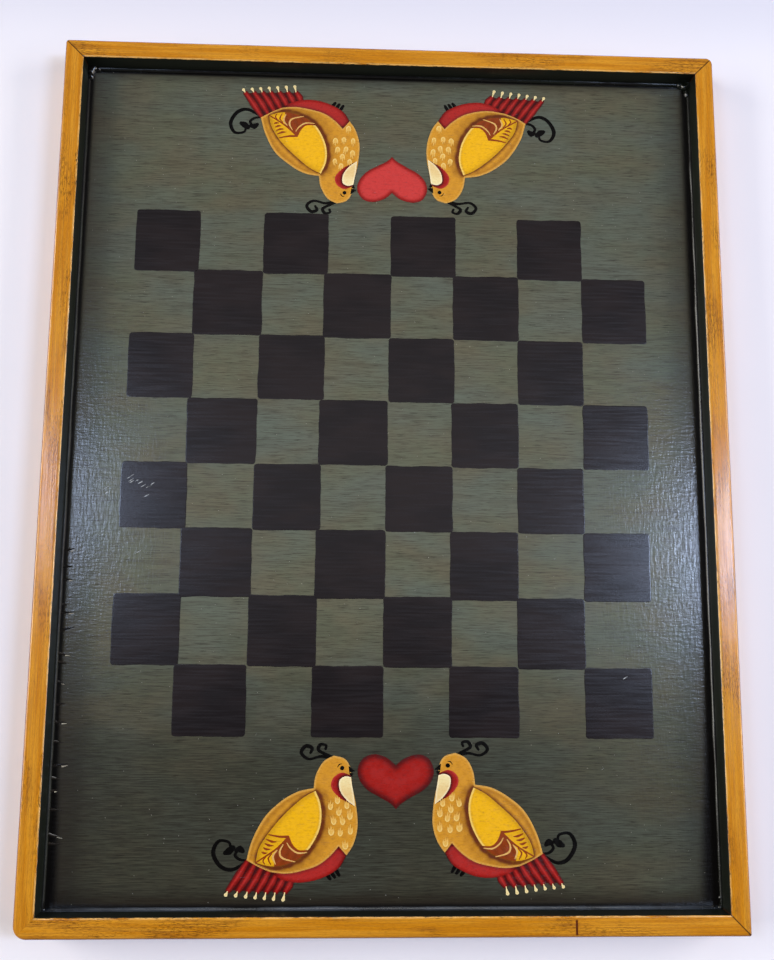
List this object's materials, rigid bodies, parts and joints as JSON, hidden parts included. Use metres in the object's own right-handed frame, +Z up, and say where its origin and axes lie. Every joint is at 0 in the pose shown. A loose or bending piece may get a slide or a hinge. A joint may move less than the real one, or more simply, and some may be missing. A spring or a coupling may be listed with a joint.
{
  "type": "checkerboard tray",
  "caption": "Wooden checkerboard with a raised mitred frame round a recessed plywood playing panel, painted with a checked grid and a heart between two birds at each end.",
  "frame": {"origin": "middle of the board's underside", "axes": "+X across the board, +Y along its length, +Z up out of the playing face"},
  "size_m": [0.391, 0.508, 0.0222],
  "materials": {
    "panel_paint": "plywood, dark green acrylic paint under brown glaze and satin varnish",
    "rail_paint": "pine, ochre paint antiqued with brown stain, satin varnish",
    "black_paint": "near-black acrylic paint, satin varnish",
    "line_paint": "black liner-brush strokes, satin varnish",
    "red_paint": "barn-red acrylic paint, satin varnish",
    "ochre_paint": "ochre acrylic paint, satin varnish",
    "yellow_paint": "yellow acrylic paint, satin varnish",
    "cream_paint": "cream acrylic paint, satin varnish",
    "brown_paint": "red-brown acrylic paint, satin varnish",
    "brad_steel": "bright wire",
    "putty": "wood filler painted over with the rail"
  },
  "bodies": {
    "root": {"panel": "panel_paint", "rail_left": "rail_paint", "rail_right": "rail_paint", "rail_top": "rail_paint", "rail_bottom": "rail_paint", "bead_left": "black_paint", "bead_right": "black_paint", "bead_top": "black_paint", "bead_bottom": "black_paint", "corner_brads": "brad_steel", "panel_brads": "brad_steel", "putty_plugs": "putty", "dark_squares": "black_paint", "hearts": "red_paint", "bird_bodies": "ochre_paint", "bird_bellies": "red_paint", "bird_tails": "red_paint", "tail_tips": "cream_paint", "tail_curls": "line_paint", "crest_curls": "line_paint", "bird_legs": "line_paint", "bird_beaks": "line_paint", "bird_wings": "yellow_paint", "bird_bibs": "red_paint", "bird_cheeks": "cream_paint", "bird_eyes": "line_paint", "breast_feathers": "cream_paint", "wing_patches": "brown_paint", "wing_scallops": "cream_paint"}
  },
  "joints": []
}
